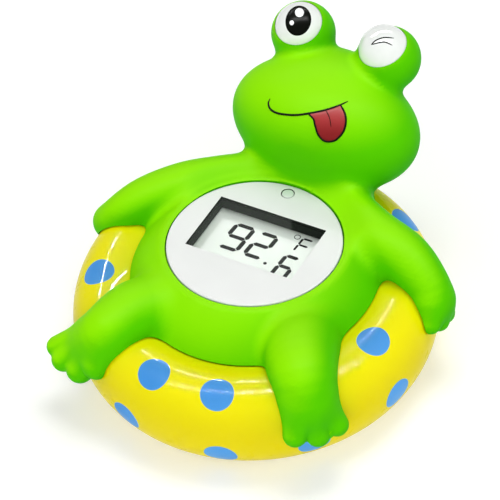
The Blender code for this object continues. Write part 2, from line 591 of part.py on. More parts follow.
# Temperature probe: a steel thimble through the floor of the capsule, with a bead and two leads to the board
PX, PY = PROBE_XY
TIP = STEM_LOW - 0.3
thimble = [(0, TIP), (PROBE_R - 0.5, TIP), (PROBE_R, TIP + 0.5), (PROBE_R, TIP + PROBE_UP)]
thimble += [(PROBE_R - PROBE_WALL, TIP + PROBE_UP), (PROBE_R - PROBE_WALL, TIP + 0.9)]
thimble += [(PROBE_R - 0.6, TIP + 0.4), (0, TIP + 0.4)]
node("probe_cap", lathe(thimble, 24, PROBE_XY), probe_steel)
arc = [math.pi * (k / 8 - 0.5) for k in range(9)]
bead = [(1.1 * math.cos(a), TIP + 2.0 + 1.2 * math.sin(a)) for a in arc]
node("thermistor", lathe(bead, 16, PROBE_XY), bead_epoxy)
for name, sign, look in (("lead_wire_front", -1.0, wire_red), ("lead_wire_rear", 1.0, wire_blue)):
    y = 0.45 * sign
    points = [(PX, PY + y, TIP + 3.5), (PX, PY + y, TIP + PROBE_UP + 3.0)]
    points += [(PX + 0.6, PY + 2.2 * sign, TIP + PROBE_UP + 8.0)]
    points += [(PX + 0.6, PY + 2.6 * sign, BOARD_LOW - 0.3)]
    node(name, tube(points, 0.32), look)
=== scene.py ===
"""Looks of a bath thermometer: a green frog figure lounging in a spotted yellow swim ring, with a round
display in its belly. Sizes are in millimetres from the ring's axis and the floor, and the display's are from
the centre of the bezel's face. +X is the frog's own left, and its head lies toward +Y.
"""

import math

import bmesh
import bpy
import numpy as np
from mathutils import Matrix, Vector


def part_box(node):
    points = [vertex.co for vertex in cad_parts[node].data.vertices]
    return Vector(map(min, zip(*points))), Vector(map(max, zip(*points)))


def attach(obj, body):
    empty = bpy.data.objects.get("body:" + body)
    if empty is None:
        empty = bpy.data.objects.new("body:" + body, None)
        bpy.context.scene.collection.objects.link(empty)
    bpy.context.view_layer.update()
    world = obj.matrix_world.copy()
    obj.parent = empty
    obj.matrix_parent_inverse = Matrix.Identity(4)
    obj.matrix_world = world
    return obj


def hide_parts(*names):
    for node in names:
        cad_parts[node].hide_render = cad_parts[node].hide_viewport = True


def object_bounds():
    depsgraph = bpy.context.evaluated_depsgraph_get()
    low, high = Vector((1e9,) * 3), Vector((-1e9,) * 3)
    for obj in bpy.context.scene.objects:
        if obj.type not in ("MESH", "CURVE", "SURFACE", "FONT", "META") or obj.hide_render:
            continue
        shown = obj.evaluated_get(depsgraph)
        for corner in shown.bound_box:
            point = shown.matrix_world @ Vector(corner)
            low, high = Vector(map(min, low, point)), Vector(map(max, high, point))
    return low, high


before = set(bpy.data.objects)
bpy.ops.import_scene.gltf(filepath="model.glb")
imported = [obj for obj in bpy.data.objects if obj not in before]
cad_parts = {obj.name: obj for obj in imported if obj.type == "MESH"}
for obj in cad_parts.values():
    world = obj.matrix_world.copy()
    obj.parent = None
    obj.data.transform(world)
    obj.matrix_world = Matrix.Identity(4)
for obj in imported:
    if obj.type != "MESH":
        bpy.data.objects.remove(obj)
CAD_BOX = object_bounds()
MM = 0.001
RING_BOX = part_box("swim_ring")
AXIS = np.array([(RING_BOX[0][0] + RING_BOX[1][0]) / 2, (RING_BOX[0][1] + RING_BOX[1][1]) / 2, 0.0])

GAP = 0.35  # between the ring, the figure and the display's capsule
# Swim ring: radius of its tube's centre, the tube's reach outward and inward, then the centre's height and
# the reach up and down
RING_R = 40.4
RING_OUT = 9.6
RING_IN = 14.4
RING_Z = 13.1
RING_TOP = 13.1
RING_LOW = 13.9

# Figure: (centre, half-sizes) of the ellipsoids, and the softness with which they join
BODY = ((0.0, 2.0, 12.4), (37.5, 37.6, 30.8))
CHEST = ((0.0, 27.0, 19.5), (24.5, 19.5, 15.5))
CHEST_SOFT = 6.0
BELLY_FLAT = 35.05  # height at which the belly is levelled for the bezel
BELLY_SOFT = 1.2
# Clear space round the bezel: degrees at which it opens in the belly and in the head
DISH_FLARE = (52.0, 0.0)
DISH_EDGE = 0.65  # from the bezel's edge
DISH_LOW = 0.4  # over the bezel's face
DISH_SOFT = 1.6
HEAD = ((0.0, 45.3, 41.5), (27.4, 18.0, 18.0))
HEAD_TILT = -28.0
HEAD_SOFT = 5.0
BROW = ((0.0, 53.2, 51.0), (14.0, 8.5, 6.6))
BROW_SOFT = 6.5
BUMP_C = (13.0, 59.4, 58.0)
BUMP_R = 8.9
BUMP_SOFT = 3.0
EYE_FACING = (0.0, -0.39, 0.92)
WINK_ASIDE = (-0.58, 0.28, 0.5)  # place of the winking eye from the open one's mirror image
EYE_OUT = 3.4  # from the middle of its bump
EYE_R = 7.0
SOCKET_GAP = 0.12
# Limbs: (x, y, z, radius) along each, then (tip x, y, z, tip radius) of its fingers or toes
ARM_RIGHT = (
    (-14.5, 27.4, 29.5, 7.4), (-21.6, 22.2, 30.5, 7.0), (-29.3, 16.1, 31.0, 6.8),
    (-37.5, 9.7, 29.0, 6.2), (-43.1, 4.7, 26.0, 5.0), (-47.0, 3.2, 22.0, 4.0),
)
ARM_LEFT = (
    (11.4, 28.7, 29.5, 7.6), (26.2, 20.6, 31.5, 7.0), (37.5, 17.8, 29.5, 6.7),
    (45.9, 14.1, 25.4, 5.4), (48.5, 12.1, 21.7, 4.2),
)
LEG_RIGHT = (
    (-14.7, -18.7, 24.0, 9.3), (-21.2, -26.6, 26.5, 8.4),
    (-24.3, -35.0, 26.4, 7.3), (-27.9, -37.2, 22.6, 6.1),
)
LEG_LEFT = (
    (23.5, -14.1, 24.0, 9.3), (26.3, -22.5, 27.0, 9.4),
    (30.9, -29.6, 28.4, 8.1), (34.3, -33.8, 23.6, 6.7),
)
FINGERS_RIGHT = ((-47.0, 4.0, 17.5, 2.4), (-49.7, 4.6, 16.5, 2.4), (-51.7, 6.6, 17.0, 2.3))
FINGERS_LEFT = ((49.3, 7.3, 19.4, 2.7), (49.9, 11.0, 17.1, 2.7), (49.8, 14.4, 17.0, 2.9))
TOES_RIGHT = (
    (-39.2, -39.3, 17.7, 3.0), (-36.1, -41.7, 16.3, 3.3), (-30.5, -42.6, 15.9, 3.8),
    (-25.1, -42.3, 19.6, 3.8),
)
TOES_LEFT = ((33.0, -40.1, 17.3, 3.3), (37.6, -36.3, 15.6, 3.3), (41.0, -32.1, 16.8, 3.2))
DIGIT_ROOT = 0.9  # how much thicker a digit is at its root
DIGIT_SPREAD = 0.5  # share of the tips' spread that the roots have
# Chain, digits, and softness between the digits, at the palm and at the body
ARMS = ((ARM_RIGHT, FINGERS_RIGHT, 0.7, 3.5, 4.0), (ARM_LEFT, FINGERS_LEFT, 0.7, 3.5, 5.0))
LEGS = ((LEG_RIGHT, TOES_RIGHT, 1.0, 4.0, 3.5), (LEG_LEFT, TOES_LEFT, 0.6, 3.5, 3.5))
SWEEP_STEPS = 4
SWEEP_SOFT = 0.8
SWEEP_FAT = 0.6
FLAT_BASE = -2.0
# The figure's skin: grid step and box, how many steps from the surface a cube may lie, how near a crossing
# comes to a grid point, and the Newton steps' count, longest reach in grid steps and least squared slope
SKIN_STEP = 0.95
SKIN_BOX = ((-60, -54, -5), (60, 76, 74))
SKIN_NEAR = 3.0
SKIN_KEEP = 0.02
NEWTON_STEPS = 3
NEWTON_REACH = 0.3
NEWTON_SLOPE = 0.2
SLOPE_REACH = 0.05

# Display in its capsule, from the centre of the bezel's face
BEZEL_C = (0.0, 2.35, 35.0)
BEZEL_TILT = -2.4
BEZEL_R = 23.7
BEZEL_T = 0.8
SKIRT_LOW = 2.4
SKIRT_T = 1.1
WIN_X = (-16.5, 15.5)
WIN_Y = (-8.4, 11.9)
LED_XY = (-0.6, 20.5)
LED_R = 1.9
LENS_T = 1.2
LENS_GAP = 0.25
LENS_DOME = 0.05
LENS_STEM = (0.75, -6.8)  # radius and lower end
LCD_Z = -4.35
TRAY_R = 22.9
TRAY_RIM = -2.8
TRAY_LOW = -11.4
STEM_R = 14.0
STEM_LOW = -32.6
SHELL_T = 1.3
BORE_R = 15.9
BORE_ENDS = (-60.0, 6.0)
CELL_XY = (-3.6, 0.0)
CELL_R = 5.2
CELL_TOP = -28.6
DOOR_R = 6.6
DOOR_STEP = 0.7
DOOR_T = 0.4
DOOR_PLUG = (4.9, 1.4)  # radius, and height over the stem's lower end
COIN_SLOT = (3.4, 0.7, 0.5)  # half-length, half-width, and height over the stem's lower end
PROBE_XY = (8.3, 0.0)
PROBE_R = 1.9
PROBE_T = 0.35
PROBE_END = 0.4
PROBE_FIT = 0.3
PROBE_LONG = 7.0
WATER_FACE = STEM_LOW - 0.3  # lowest face of the door and of the probe
BELOW = -40.0  # where tools that cut from the water side begin
SEAL_R = 0.65
SEAL_OUT = 0.95
SEAL_UP = 5.6

# The ring's spots: their radius and soft edge, and for each the angle round the ring and the angle round its
# tube from the outside
SPOT_R = 4.5
SPOT_SOFT = 0.12
SPOTS = (
    (204.3, 80.0), (232.0, 72.0), (261.0, 72.6), (285.6, 70.4), (316.0, 74.0), (347.3, 81.7), (26.0, 55.0),
    (51.5, 55.4), (79.0, 70.0), (104.0, 66.0), (129.0, 72.0), (152.0, 62.0), (172.5, 58.0),
    (253.5, -12.1), (286.4, -24.4), (315.6, -16.8), (346.4, -8.8), (45.0, -22.0), (74.0, -10.0),
    (104.0, -20.0), (134.0, -12.0), (163.0, -22.0), (192.0, -12.0), (222.0, -20.0),
)

TILT = Matrix.Rotation(math.radians(BEZEL_TILT), 4, "X")
CAPSULE = Matrix.Translation(BEZEL_C) @ TILT
PLACE = Matrix.Translation(AXIS) @ Matrix.Scale(MM, 4)

# Camera: right, up and toward-camera axes at the photograph's angle
AZ = math.radians(32.53)
EL = math.radians(47.18)
ROLL = math.radians(6.26)
PX_PER_MM = 3.674
PRINCIPAL = (256.31, 303.15)
FAR = 778.0
PICTURE = 500.0
SENSOR = 36.0
LEVEL_R = np.array([math.cos(AZ), math.sin(AZ), 0.0])
LEVEL_U = np.array([-math.sin(AZ) * math.sin(EL), math.cos(AZ) * math.sin(EL), math.cos(EL)])
VIEW_C = np.array([math.sin(AZ) * math.cos(EL), -math.cos(AZ) * math.cos(EL), math.sin(EL)])
VIEW_R = math.cos(ROLL) * LEVEL_R - math.sin(ROLL) * LEVEL_U
VIEW_U = math.sin(ROLL) * LEVEL_R + math.cos(ROLL) * LEVEL_U
RING_CENTRE = np.array([0.0, 0.0, RING_Z])


# Meshes


def placed(shape, local=False):
    """The shape's points in metres, from millimetres round the ring's axis or the bezel's face."""
    verts, faces = shape
    place = np.array(PLACE @ CAPSULE if local else PLACE)
    return np.asarray(verts, float) @ place[:3, :3].T + place[:3, 3], faces


def add_piece(name, verts, faces, looks, slot, local=False, crease=35.0):
    """A piece from points in millimetres and faces."""
    verts, faces = placed((verts, faces), local)
    data = bpy.data.meshes.new(name)
    data.from_pydata(verts.tolist(), [], [list(f) for f in faces])
    data.validate()
    return finish_piece(name, data, looks, crease)


def finish_piece(name, data, looks, crease):
    """The mesh as a piece on the root body, smooth but for edges over the crease angle."""
    data.update()
    for look in looks if isinstance(looks, (list, tuple)) else [looks]:
        data.materials.append(look)
    data.polygons.foreach_set("use_smooth", np.ones(len(data.polygons), bool))
    data.set_sharp_from_angle(angle=math.radians(crease))
    piece = bpy.data.objects.new(name, data)
    bpy.context.scene.collection.objects.link(piece)
    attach(piece, "root")
    return piece


def lathe_grid(profile, segments, centre=(0.0, 0.0)):
    """Points x = cx + r cos t, y = cy + r sin t, z of a closed (r, z) outline; one that starts and ends
    on the axis has its two ends closed by a fan round one point each."""
    profile = np.asarray(profile, float)
    capped = profile[0, 0] < 1e-9 and profile[-1, 0] < 1e-9
    rows = profile[1:-1] if capped else profile
    t = np.arange(segments) * 2 * math.pi / segments
    x = centre[0] + rows[:, :1] * np.cos(t)
    y = centre[1] + rows[:, :1] * np.sin(t)
    z = np.repeat(rows[:, 1:], segments, 1)
    verts = np.stack([x, y, z], -1).reshape(-1, 3)
    i, j = np.meshgrid(np.arange(len(rows) - (1 if capped else 0)), np.arange(segments), indexing="ij")
    i2 = (i + 1) % len(rows)
    j2 = (j + 1) % segments
    quads = np.stack([i * segments + j, i * segments + j2, i2 * segments + j2, i2 * segments + j], -1)
    faces = quads.reshape(-1, 4).tolist()
    if capped:
        first = len(verts)
        verts = np.vstack([verts, [[*centre, profile[0, 1]], [*centre, profile[-1, 1]]]])
        k = np.arange(segments)
        last = (len(rows) - 1) * segments
        faces += np.stack([np.full(segments, first), (k + 1) % segments, k], -1).tolist()
        faces += np.stack([np.full(segments, first + 1), last + k, last + (k + 1) % segments], -1).tolist()
    return verts, faces


def fillet(profile, radius, steps=5, skip=()):
    """The outline with each corner that isn't skipped replaced by points of a quadratic curve, which starts
    and ends at the given distance along the corner's two sides."""
    profile = np.asarray(profile, float)
    made = []
    for k, corner in enumerate(profile):
        if k in skip or corner[0] < 1e-9:
            made.append(corner[None])
            continue
        before = profile[k - 1] - corner
        after = profile[(k + 1) % len(profile)] - corner
        near = min(radius, 0.45 * np.linalg.norm(before), 0.45 * np.linalg.norm(after))
        a = corner + before / np.linalg.norm(before) * near
        b = corner + after / np.linalg.norm(after) * near
        t = np.linspace(0, 1, steps)[:, None]
        made.append((1 - t) ** 2 * a + 2 * t * (1 - t) * corner + t**2 * b)
    return np.vstack(made)


def boolean_mesh(name, base, tools):
    """The base with each tool cut from it, as a new mesh; all are given as (verts, faces) in metres."""
    made = []
    for verts, faces in [base, *tools]:
        data = bpy.data.meshes.new(name + "_shape")
        data.from_pydata(np.asarray(verts).tolist(), [], [list(f) for f in faces])
        edit = bmesh.new()
        edit.from_mesh(data)
        bmesh.ops.recalc_face_normals(edit, faces=edit.faces)
        edit.to_mesh(data)
        edit.free()
        made.append(bpy.data.objects.new(name + "_shape", data))
        bpy.context.scene.collection.objects.link(made[-1])
    for tool in made[1:]:
        modifier = made[0].modifiers.new("cut", "BOOLEAN")
        modifier.solver = "EXACT"
        modifier.operation = "DIFFERENCE"
        modifier.object = tool
    bpy.context.view_layer.update()
    graph = bpy.context.evaluated_depsgraph_get()
    result = bpy.data.meshes.new_from_object(made[0].evaluated_get(graph))
    for item in made:
        shape = item.data
        bpy.data.objects.remove(item, do_unlink=True)
        bpy.data.meshes.remove(shape)
    result.name = name
    return result


def block(x0, x1, y0, y1, z0, z1):
    """Box between two values on each axis."""
    corners = np.array([(x, y, z) for x in (x0, x1) for y in (y0, y1) for z in (z0, z1)], float)
    return corners, [(0, 1, 3, 2), (4, 6, 7, 5), (0, 4, 5, 1), (2, 3, 7, 6), (0, 2, 6, 4), (1, 5, 7, 3)]


# Signed distances of the figure


def ellipsoid(points, centre, half, tilt=0.0):
    """|q/r| (|q/r| - 1) / |q/r^2|, with q the point from the centre, turned about X by the tilt."""
    offset = points - np.array(centre)
    if tilt:
        c = math.cos(math.radians(tilt))
        s = math.sin(math.radians(tilt))
        turned = offset.copy()
        turned[..., 1] = offset[..., 1] * c + offset[..., 2] * s
        turned[..., 2] = offset[..., 2] * c - offset[..., 1] * s
        offset = turned
    near = np.linalg.norm(offset / np.array(half), axis=-1)
    slope = np.linalg.norm(offset / np.array(half) ** 2, axis=-1)
    return near * (near - 1.0) / np.maximum(slope, 1e-9)


def blend(a, b, k):
    """Smooth minimum: b + (a - b) h - k h (1 - h), with h = 1/2 + (b - a) / 2k held in 0..1."""
    h = np.clip(0.5 + 0.5 * (b - a) / k, 0.0, 1.0)
    return b * (1.0 - h) + a * h - k * h * (1.0 - h)


def cone(points, first, last):
    """Distance to the segment from first to last, less a radius that runs evenly between theirs."""
    a = np.array(first[:3])
    b = np.array(last[:3])
    t = np.clip((points - a) @ (b - a) / ((b - a) @ (b - a)), 0.0, 1.0)
    far = np.linalg.norm(points - a - t[..., None] * (b - a), axis=-1)
    return far - (first[3] + (last[3] - first[3]) * t)


def sweep(points, chain):
    """Tube along a Catmull-Rom curve through the chain: FAT - k log(sum exp(-d / k)) over the cones between
    points of the curve."""
    knots = np.array(chain)
    knots = np.vstack([2 * knots[0] - knots[1], knots, 2 * knots[-1] - knots[-2]])
    u = np.linspace(0, len(chain) - 1, SWEEP_STEPS * (len(chain) - 1) + 1)
    k = np.minimum(u.astype(int), len(chain) - 2)
    t = (u - k)[:, None]
    a, b, c, d = (knots[k + n] for n in range(4))
    curve = b + 0.5 * t * (c - a + t * (2 * a - 5 * b + 4 * c - d + t * (3 * b - a - 3 * c + d)))
    total = sum(np.exp(-cone(points, first, last) / SWEEP_SOFT) for first, last in zip(curve, curve[1:]))
    return SWEEP_FAT - SWEEP_SOFT * np.log(total)


def limb(points, chain, digits, web, palm):
    """Swept limb with digits that start side by side in its end, spread by a share of their tips' places."""
    tips = np.array(digits)
    roots = tips + np.array([0.0, 0.0, 0.0, DIGIT_ROOT])
    roots[:, :3] = chain[-1][:3] + DIGIT_SPREAD * (tips[:, :3] - tips[:, :3].mean(0))
    fan = cone(points, roots[0], tips[0])
    for root, tip in zip(roots[1:], tips[1:]):
        fan = blend(fan, cone(points, root, tip), web)
    return blend(sweep(points, chain), fan, palm)


def with_limbs(points, shape, limbs):
    for chain, digits, web, palm, root in limbs:
        shape = blend(shape, limb(points, chain, digits, web, palm), root)
    return shape


def trunk(points):
    """Belly levelled for the bezel, chest and arms, cleared round the bezel."""
    mirrored = np.concatenate([np.abs(points[..., :1]), points[..., 1:]], -1)
    ahead = points[..., 1] - BEZEL_C[1]
    level = ahead * math.tan(math.radians(BEZEL_TILT)) + BELLY_FLAT
    shape = -blend(-ellipsoid(mirrored, *BODY), level - points[..., 2], BELLY_SOFT)
    shape = blend(shape, ellipsoid(mirrored, *CHEST), CHEST_SOFT)
    return clear_bezel(points, with_limbs(points, shape, ARMS), DISH_FLARE[0])


def clear_bezel(points, shape, flare):
    """Takes from the shape a dish that opens upward at the flare from round the bezel's face."""
    c = math.cos(math.radians(BEZEL_TILT))
    s = math.sin(math.radians(BEZEL_TILT))
    ahead = points[..., 1] - BEZEL_C[1]
    above = points[..., 2] - BEZEL_C[2]
    up = above * c - ahead * s
    out = np.hypot(points[..., 0], ahead * c + above * s) - BEZEL_R - DISH_EDGE
    side = up * math.sin(math.radians(flare)) - out * math.cos(math.radians(flare))
    dish = -blend(side, up - DISH_LOW, DISH_SOFT)
    return -blend(-shape, dish, DISH_SOFT)


def head(points, shape):
    """The shape with the skull and brow joined to it, cleared over the bezel."""
    mirrored = np.concatenate([np.abs(points[..., :1]), points[..., 1:]], -1)
    skull = blend(ellipsoid(mirrored, *HEAD, HEAD_TILT), ellipsoid(mirrored, *BROW), BROW_SOFT)
    return clear_bezel(points, blend(shape, skull, HEAD_SOFT), DISH_FLARE[1])


def figure(points):
    """Trunk with arms, head, a sphere for each eye's bump, and legs."""
    mirrored = np.concatenate([np.abs(points[..., :1]), points[..., 1:]], -1)
    shape = head(points, trunk(points))
    shape = blend(shape, np.linalg.norm(mirrored - np.array(BUMP_C), axis=-1) - BUMP_R, BUMP_SOFT)
    return with_limbs(points, shape, LEGS)


def slope_of(field, points):
    """The field's gradient by central differences."""
    reach = SLOPE_REACH * np.eye(3)
    return np.stack([field(points + e) - field(points - e) for e in reach], -1) / (2 * SLOPE_REACH)


def normals_of(field, points):
    slope = slope_of(field, points)
    return slope / np.maximum(np.linalg.norm(slope, axis=-1, keepdims=True), 1e-9)


def skin(field, low, high, step):
    """Surface of field = 0 by marching tetrahedra: each grid cube splits into six tetrahedra along its main
    diagonal, and each of those gives one or two triangles through the linear crossings of its edges. Newton
    steps p - f grad f / |grad f|^2 then bring the points onto the surface."""
    axes = [np.arange(a, b + step, step) for a, b in zip(low, high)]
    grid = np.stack(np.meshgrid(*axes, indexing="ij"), -1)
    shape = np.array(grid.shape[:3])
    value = field(grid).ravel()
    points = grid.reshape(-1, 3)
    stride = np.array([shape[1] * shape[2], shape[2], 1])
    base = (np.stack(np.meshgrid(*[np.arange(n - 1) for n in shape], indexing="ij"), -1) @ stride).ravel()
    near = np.abs(value[base]) < SKIN_NEAR * step
    base = base[near]
    faces = []
    for order in ((0, 1, 2), (0, 2, 1), (1, 0, 2), (1, 2, 0), (2, 0, 1), (2, 1, 0)):
        tet = base[:, None] + np.concatenate([[0], np.cumsum(stride[list(order)])])
        count = (value[tet] < 0).sum(1)
        tet = tet[(count > 0) & (count < 4)]
        rank = np.argsort(value[tet] >= 0, axis=1, kind="stable")
        tet = np.take_along_axis(tet, rank, 1)
        count = (value[tet] < 0).sum(1)
        for inside, loop in (
            (1, ((0, 1), (0, 2), (0, 3))),
            (3, ((0, 3), (1, 3), (2, 3))),
            (2, ((0, 2), (0, 3), (1, 3))),
            (2, ((0, 2), (1, 3), (1, 2))),
        ):
            some = tet[count == inside]
            out = points[some[:, inside:]].mean(1) - points[some[:, :inside]].mean(1)
            ends = np.stack([some[:, list(pair)] for pair in loop], 1)
            mid = points[ends].mean(2)
            turned = (np.cross(mid[:, 1] - mid[:, 0], mid[:, 2] - mid[:, 0]) * out).sum(1) < 0
            ends[turned] = ends[turned][:, ::-1]
            faces.append(ends)
    ends = np.sort(np.concatenate(faces), axis=2)
    edges, index = np.unique(ends.reshape(-1, 2), axis=0, return_inverse=True)
    first = value[edges[:, 0]]
    t = np.clip(first / (first - value[edges[:, 1]]), SKIN_KEEP, 1 - SKIN_KEEP)[:, None]
    verts = points[edges[:, 0]] * (1 - t) + points[edges[:, 1]] * t
    reach = NEWTON_REACH * step
    for _ in range(NEWTON_STEPS):
        f = field(verts)
        slope = slope_of(field, verts)
        move = f[:, None] * slope / np.maximum((slope**2).sum(-1), NEWTON_SLOPE)[:, None]
        verts -= np.clip(move, -reach, reach)
    return verts, index.reshape(-1, 3)


# Materials


class Value:
    """A shader socket that Python's operators turn into Math nodes."""

    def __init__(self, look, socket):
        self.look = look
        self.socket = socket

    def _with(self, other, operation, swapped=False):
        pair = [other, self] if swapped else [self, other]
        return self.look.math(operation, *pair)

    def __add__(self, other):
        return self._with(other, "ADD")

    __radd__ = __add__

    def __mul__(self, other):
        return self._with(other, "MULTIPLY")

    __rmul__ = __mul__

    def __sub__(self, other):
        return self._with(other, "SUBTRACT")

    def __rsub__(self, other):
        return self._with(other, "SUBTRACT", True)


class Look:
    """A material: node() adds a node from its type, settings and inputs, where i and a number name an input
    by its place, and set() fills the shader."""

    def __init__(self, name, **constants):
        self.material = bpy.data.materials.new(name)
        self.material.use_nodes = True
        self.tree = self.material.node_tree
        self.shader = self.tree.nodes["Principled BSDF"]
        self.set(**constants)

    def node(self, kind, settings=(), out=0, **inputs):
        made = self.tree.nodes.new(kind)
        for key, value in dict(settings).items():
            setattr(made, key, value)
        for key, value in inputs.items():
            socket = made.inputs[int(key[1:])] if key[0] == "i" and key[1:].isdigit() else made.inputs[key]
            self.feed(socket, value)
        return Value(self, made.outputs[out])

    def feed(self, socket, value):
        if isinstance(value, Value):
            self.tree.links.new(value.socket, socket)
        elif socket.type == "RGBA":
            socket.default_value = (*value, 1.0)
        else:
            socket.default_value = value

    def math(self, operation, a, b):
        return self.node("ShaderNodeMath", {"operation": operation}, i0=a, i1=b)

    def vector(self, operation, a, b):
        """A number worked out from two vectors."""
        return self.node("ShaderNodeVectorMath", {"operation": operation}, 1, i0=a, i1=b)

    def coords(self):
        return self.node("ShaderNodeTexCoord", out=3)

    def noise(self, scale, detail=2.0):
        return self.node("ShaderNodeTexNoise", Vector=self.coords(), Scale=scale, Detail=detail)

    def smooth(self, value, low, high):
        """0 at low and 1 at high, with a soft rise between."""
        steps = {"interpolation_type": "SMOOTHSTEP"}
        return self.node("ShaderNodeMapRange", steps, i0=value, i1=low, i2=high)

    def mix(self, factor, a, b):
        return self.node("ShaderNodeMix", {"data_type": "RGBA"}, 2, i0=factor, i6=a, i7=b)

    def set(self, **sockets):
        for key, value in sockets.items():
            self.feed(self.shader.inputs[key.replace("_", " ")], value)

    def bump(self, height, strength, distance):
        made = self.tree.nodes.new("ShaderNodeBump")
        made.inputs["Strength"].default_value = strength
        made.inputs["Distance"].default_value = distance
        self.feed(made.inputs["Height"], height)
        self.tree.links.new(made.outputs[0], self.shader.inputs["Normal"])


def srgb(*levels):
    """Linear colour of 0..255 display levels."""
    v = np.array(levels) / 255.0
    return tuple(float(x) for x in np.where(v <= 0.04045, v / 12.92, ((v + 0.055) / 1.055) ** 2.4))


def vinyl_green():
    """Green with painted light, yellower where it faces up, and painted shade, deeper below; faintly mottled,
    with a fine grain.
    """
    look = Look("green_vinyl", Specular_IOR_Level=0.02)
    normal = look.node("ShaderNodeNewGeometry", out=1)
    # up: how far the surface faces the light above; the painted light and painted shade follow it
    up = look.vector("DOT_PRODUCT", normal, (-0.22, -0.2, 0.955))
    cloud = look.noise(28.0)
    # painted light: yellow-green where the surface faces up
    painted_light = look.smooth(up + (cloud - 0.5) * 0.1, 0.35, 1.05)
    # painted shade: deep and low darken the green where the surface faces down
    deep = look.smooth(up, -0.6, 0.45)
    low = look.mix(deep, srgb(52, 168, 0), srgb(84, 198, 0))
    look.set(Base_Color=look.mix(painted_light, low, srgb(150, 240, 2)))
    look.set(Roughness=look.noise(420.0) * 0.08 + 0.42)
    look.bump(look.noise(900.0, 3.0), 0.04, 0.0002)
    return look.material


def ring_yellow():
    """Gloss yellow with painted light and painted shade, lighter where it faces up and deeper below, and with
    printed blue spots: a point is in a spot where its distance from the spot's centre, on the tube, is under
    the spot's radius."""
    look = Look("yellow_vinyl", Coat_Weight=0.15, Coat_Roughness=0.02, Specular_IOR_Level=0.02)
    where = look.coords()
    mask = None
    for around, tube in SPOTS:
        t = math.radians(tube)
        wide = RING_OUT if math.cos(t) > 0 else RING_IN
        tall = RING_TOP if math.sin(t) > 0 else RING_LOW
        r = RING_R + wide * math.cos(t)
        a = math.radians(around)
        centre = AXIS + MM * np.array([r * math.cos(a), r * math.sin(a), RING_Z + tall * math.sin(t)])
        far = look.vector("DISTANCE", where, tuple(centre))
        spot = look.smooth(far, (SPOT_R + SPOT_SOFT) * MM, (SPOT_R - SPOT_SOFT) * MM)
        mask = spot if mask is None else look.math("MAXIMUM", mask, spot)
    cloud = look.noise(35.0)
    normal = look.node("ShaderNodeNewGeometry", out=1)
    up = look.vector("DOT_PRODUCT", normal, (0.0, 0.0, 1.0))
    # painted light and painted shade: high makes the yellow lighter where the surface faces up and deeper
    # golden below
    high = look.smooth(up + (cloud - 0.5) * 0.1, 0.0, 0.95)
    yellow = look.mix(high, srgb(227, 210, 0), srgb(244, 234, 4))
    blue = look.mix(look.smooth(cloud, 0.3, 0.7), srgb(66, 146, 222), srgb(84, 160, 230))
    look.set(Base_Color=look.mix(mask, yellow, blue))
    look.set(Roughness=look.noise(260.0) * 0.06 + 0.25 + mask * 0.03)
    look.bump(look.noise(120.0), 0.02, 0.0004)
    return look.material


def plain(name, colour, rough, grain=300.0, metal=0.0, vary=0.06, bump=0.03, **more):
    """One colour that varies a little with a soft cloud; roughness and bump follow a finer grain."""
    look = Look(name, Metallic=metal, **more)
    cloud = look.noise(40.0)
    fine = look.noise(grain, 3.0)
    dark = tuple(c * (1.0 - vary) for c in colour)
    look.set(Base_Color=look.mix(look.smooth(cloud, 0.3, 0.7), dark, colour))
    look.set(Roughness=fine * 0.08 + (rough - 0.04))
    look.bump(fine, bump, 0.0001)
    return look.material


green = vinyl_green()
yellow = ring_yellow()
eye_white = plain("eye_white", srgb(240, 244, 240), 0.12, Coat_Weight=0.5, Coat_Roughness=0.05)
ink_black = plain("ink_black", srgb(9, 11, 6), 0.25, Specular_IOR_Level=0.04)
ink_white = plain("ink_white", srgb(250, 250, 250), 0.2)
line_black = plain("line_black", srgb(10, 16, 4), 0.5, Specular_IOR_Level=0.04)
bezel_white = plain("bezel_white", srgb(238, 240, 238), 0.32, grain=700.0, Specular_IOR_Level=0.1)
wall_black = plain("wall_black", srgb(30, 36, 30), 0.6, Specular_IOR_Level=0.04)
lcd_pale = plain("lcd_pale", srgb(232, 243, 232), 0.3, vary=0.02)
lcd_ink = plain("lcd_ink", srgb(12, 15, 12), 0.5, Specular_IOR_Level=0.05)
capsule_white = plain("capsule_white", srgb(226, 227, 224), 0.4, grain=600.0)
seal_black = plain("seal_black", srgb(24, 24, 24), 0.55)
probe_steel = plain("probe_steel", srgb(206, 206, 204), 0.24, metal=1.0)
lens_milky = plain("lens_milky", srgb(224, 234, 226), 0.2, Coat_Weight=0.3, Coat_Roughness=0.08)


TONGUE_C = (7.7, 33.1, 54.0)
TONGUE_FADE = 0.004
# Painted sheen on the window: the slant of its edge, the edge's softness, and where the edge meets the
# window's upper side
PAINTED_SHEEN_SLANT = 0.55
PAINTED_SHEEN_FADE = 0.0004
PAINTED_SHEEN_X = 5.0  # where the sheen's edge meets the window's upper side


def tongue_red():
    """Red that darkens toward the tip, by the height along the face."""
    look = Look("tongue_red", Roughness=0.35, Specular_IOR_Level=0.1)
    along = look.vector("DOT_PRODUCT", look.coords(), tuple(VIEW_U))
    middle = float(np.dot(AXIS + MM * np.array(TONGUE_C), VIEW_U))
    fade = look.smooth(along, middle - TONGUE_FADE, middle + TONGUE_FADE)
    look.set(Base_Color=look.mix(fade, srgb(128, 22, 24), srgb(176, 56, 57)))
    look.bump(look.noise(500.0), 0.05, 0.0001)
    return look.material


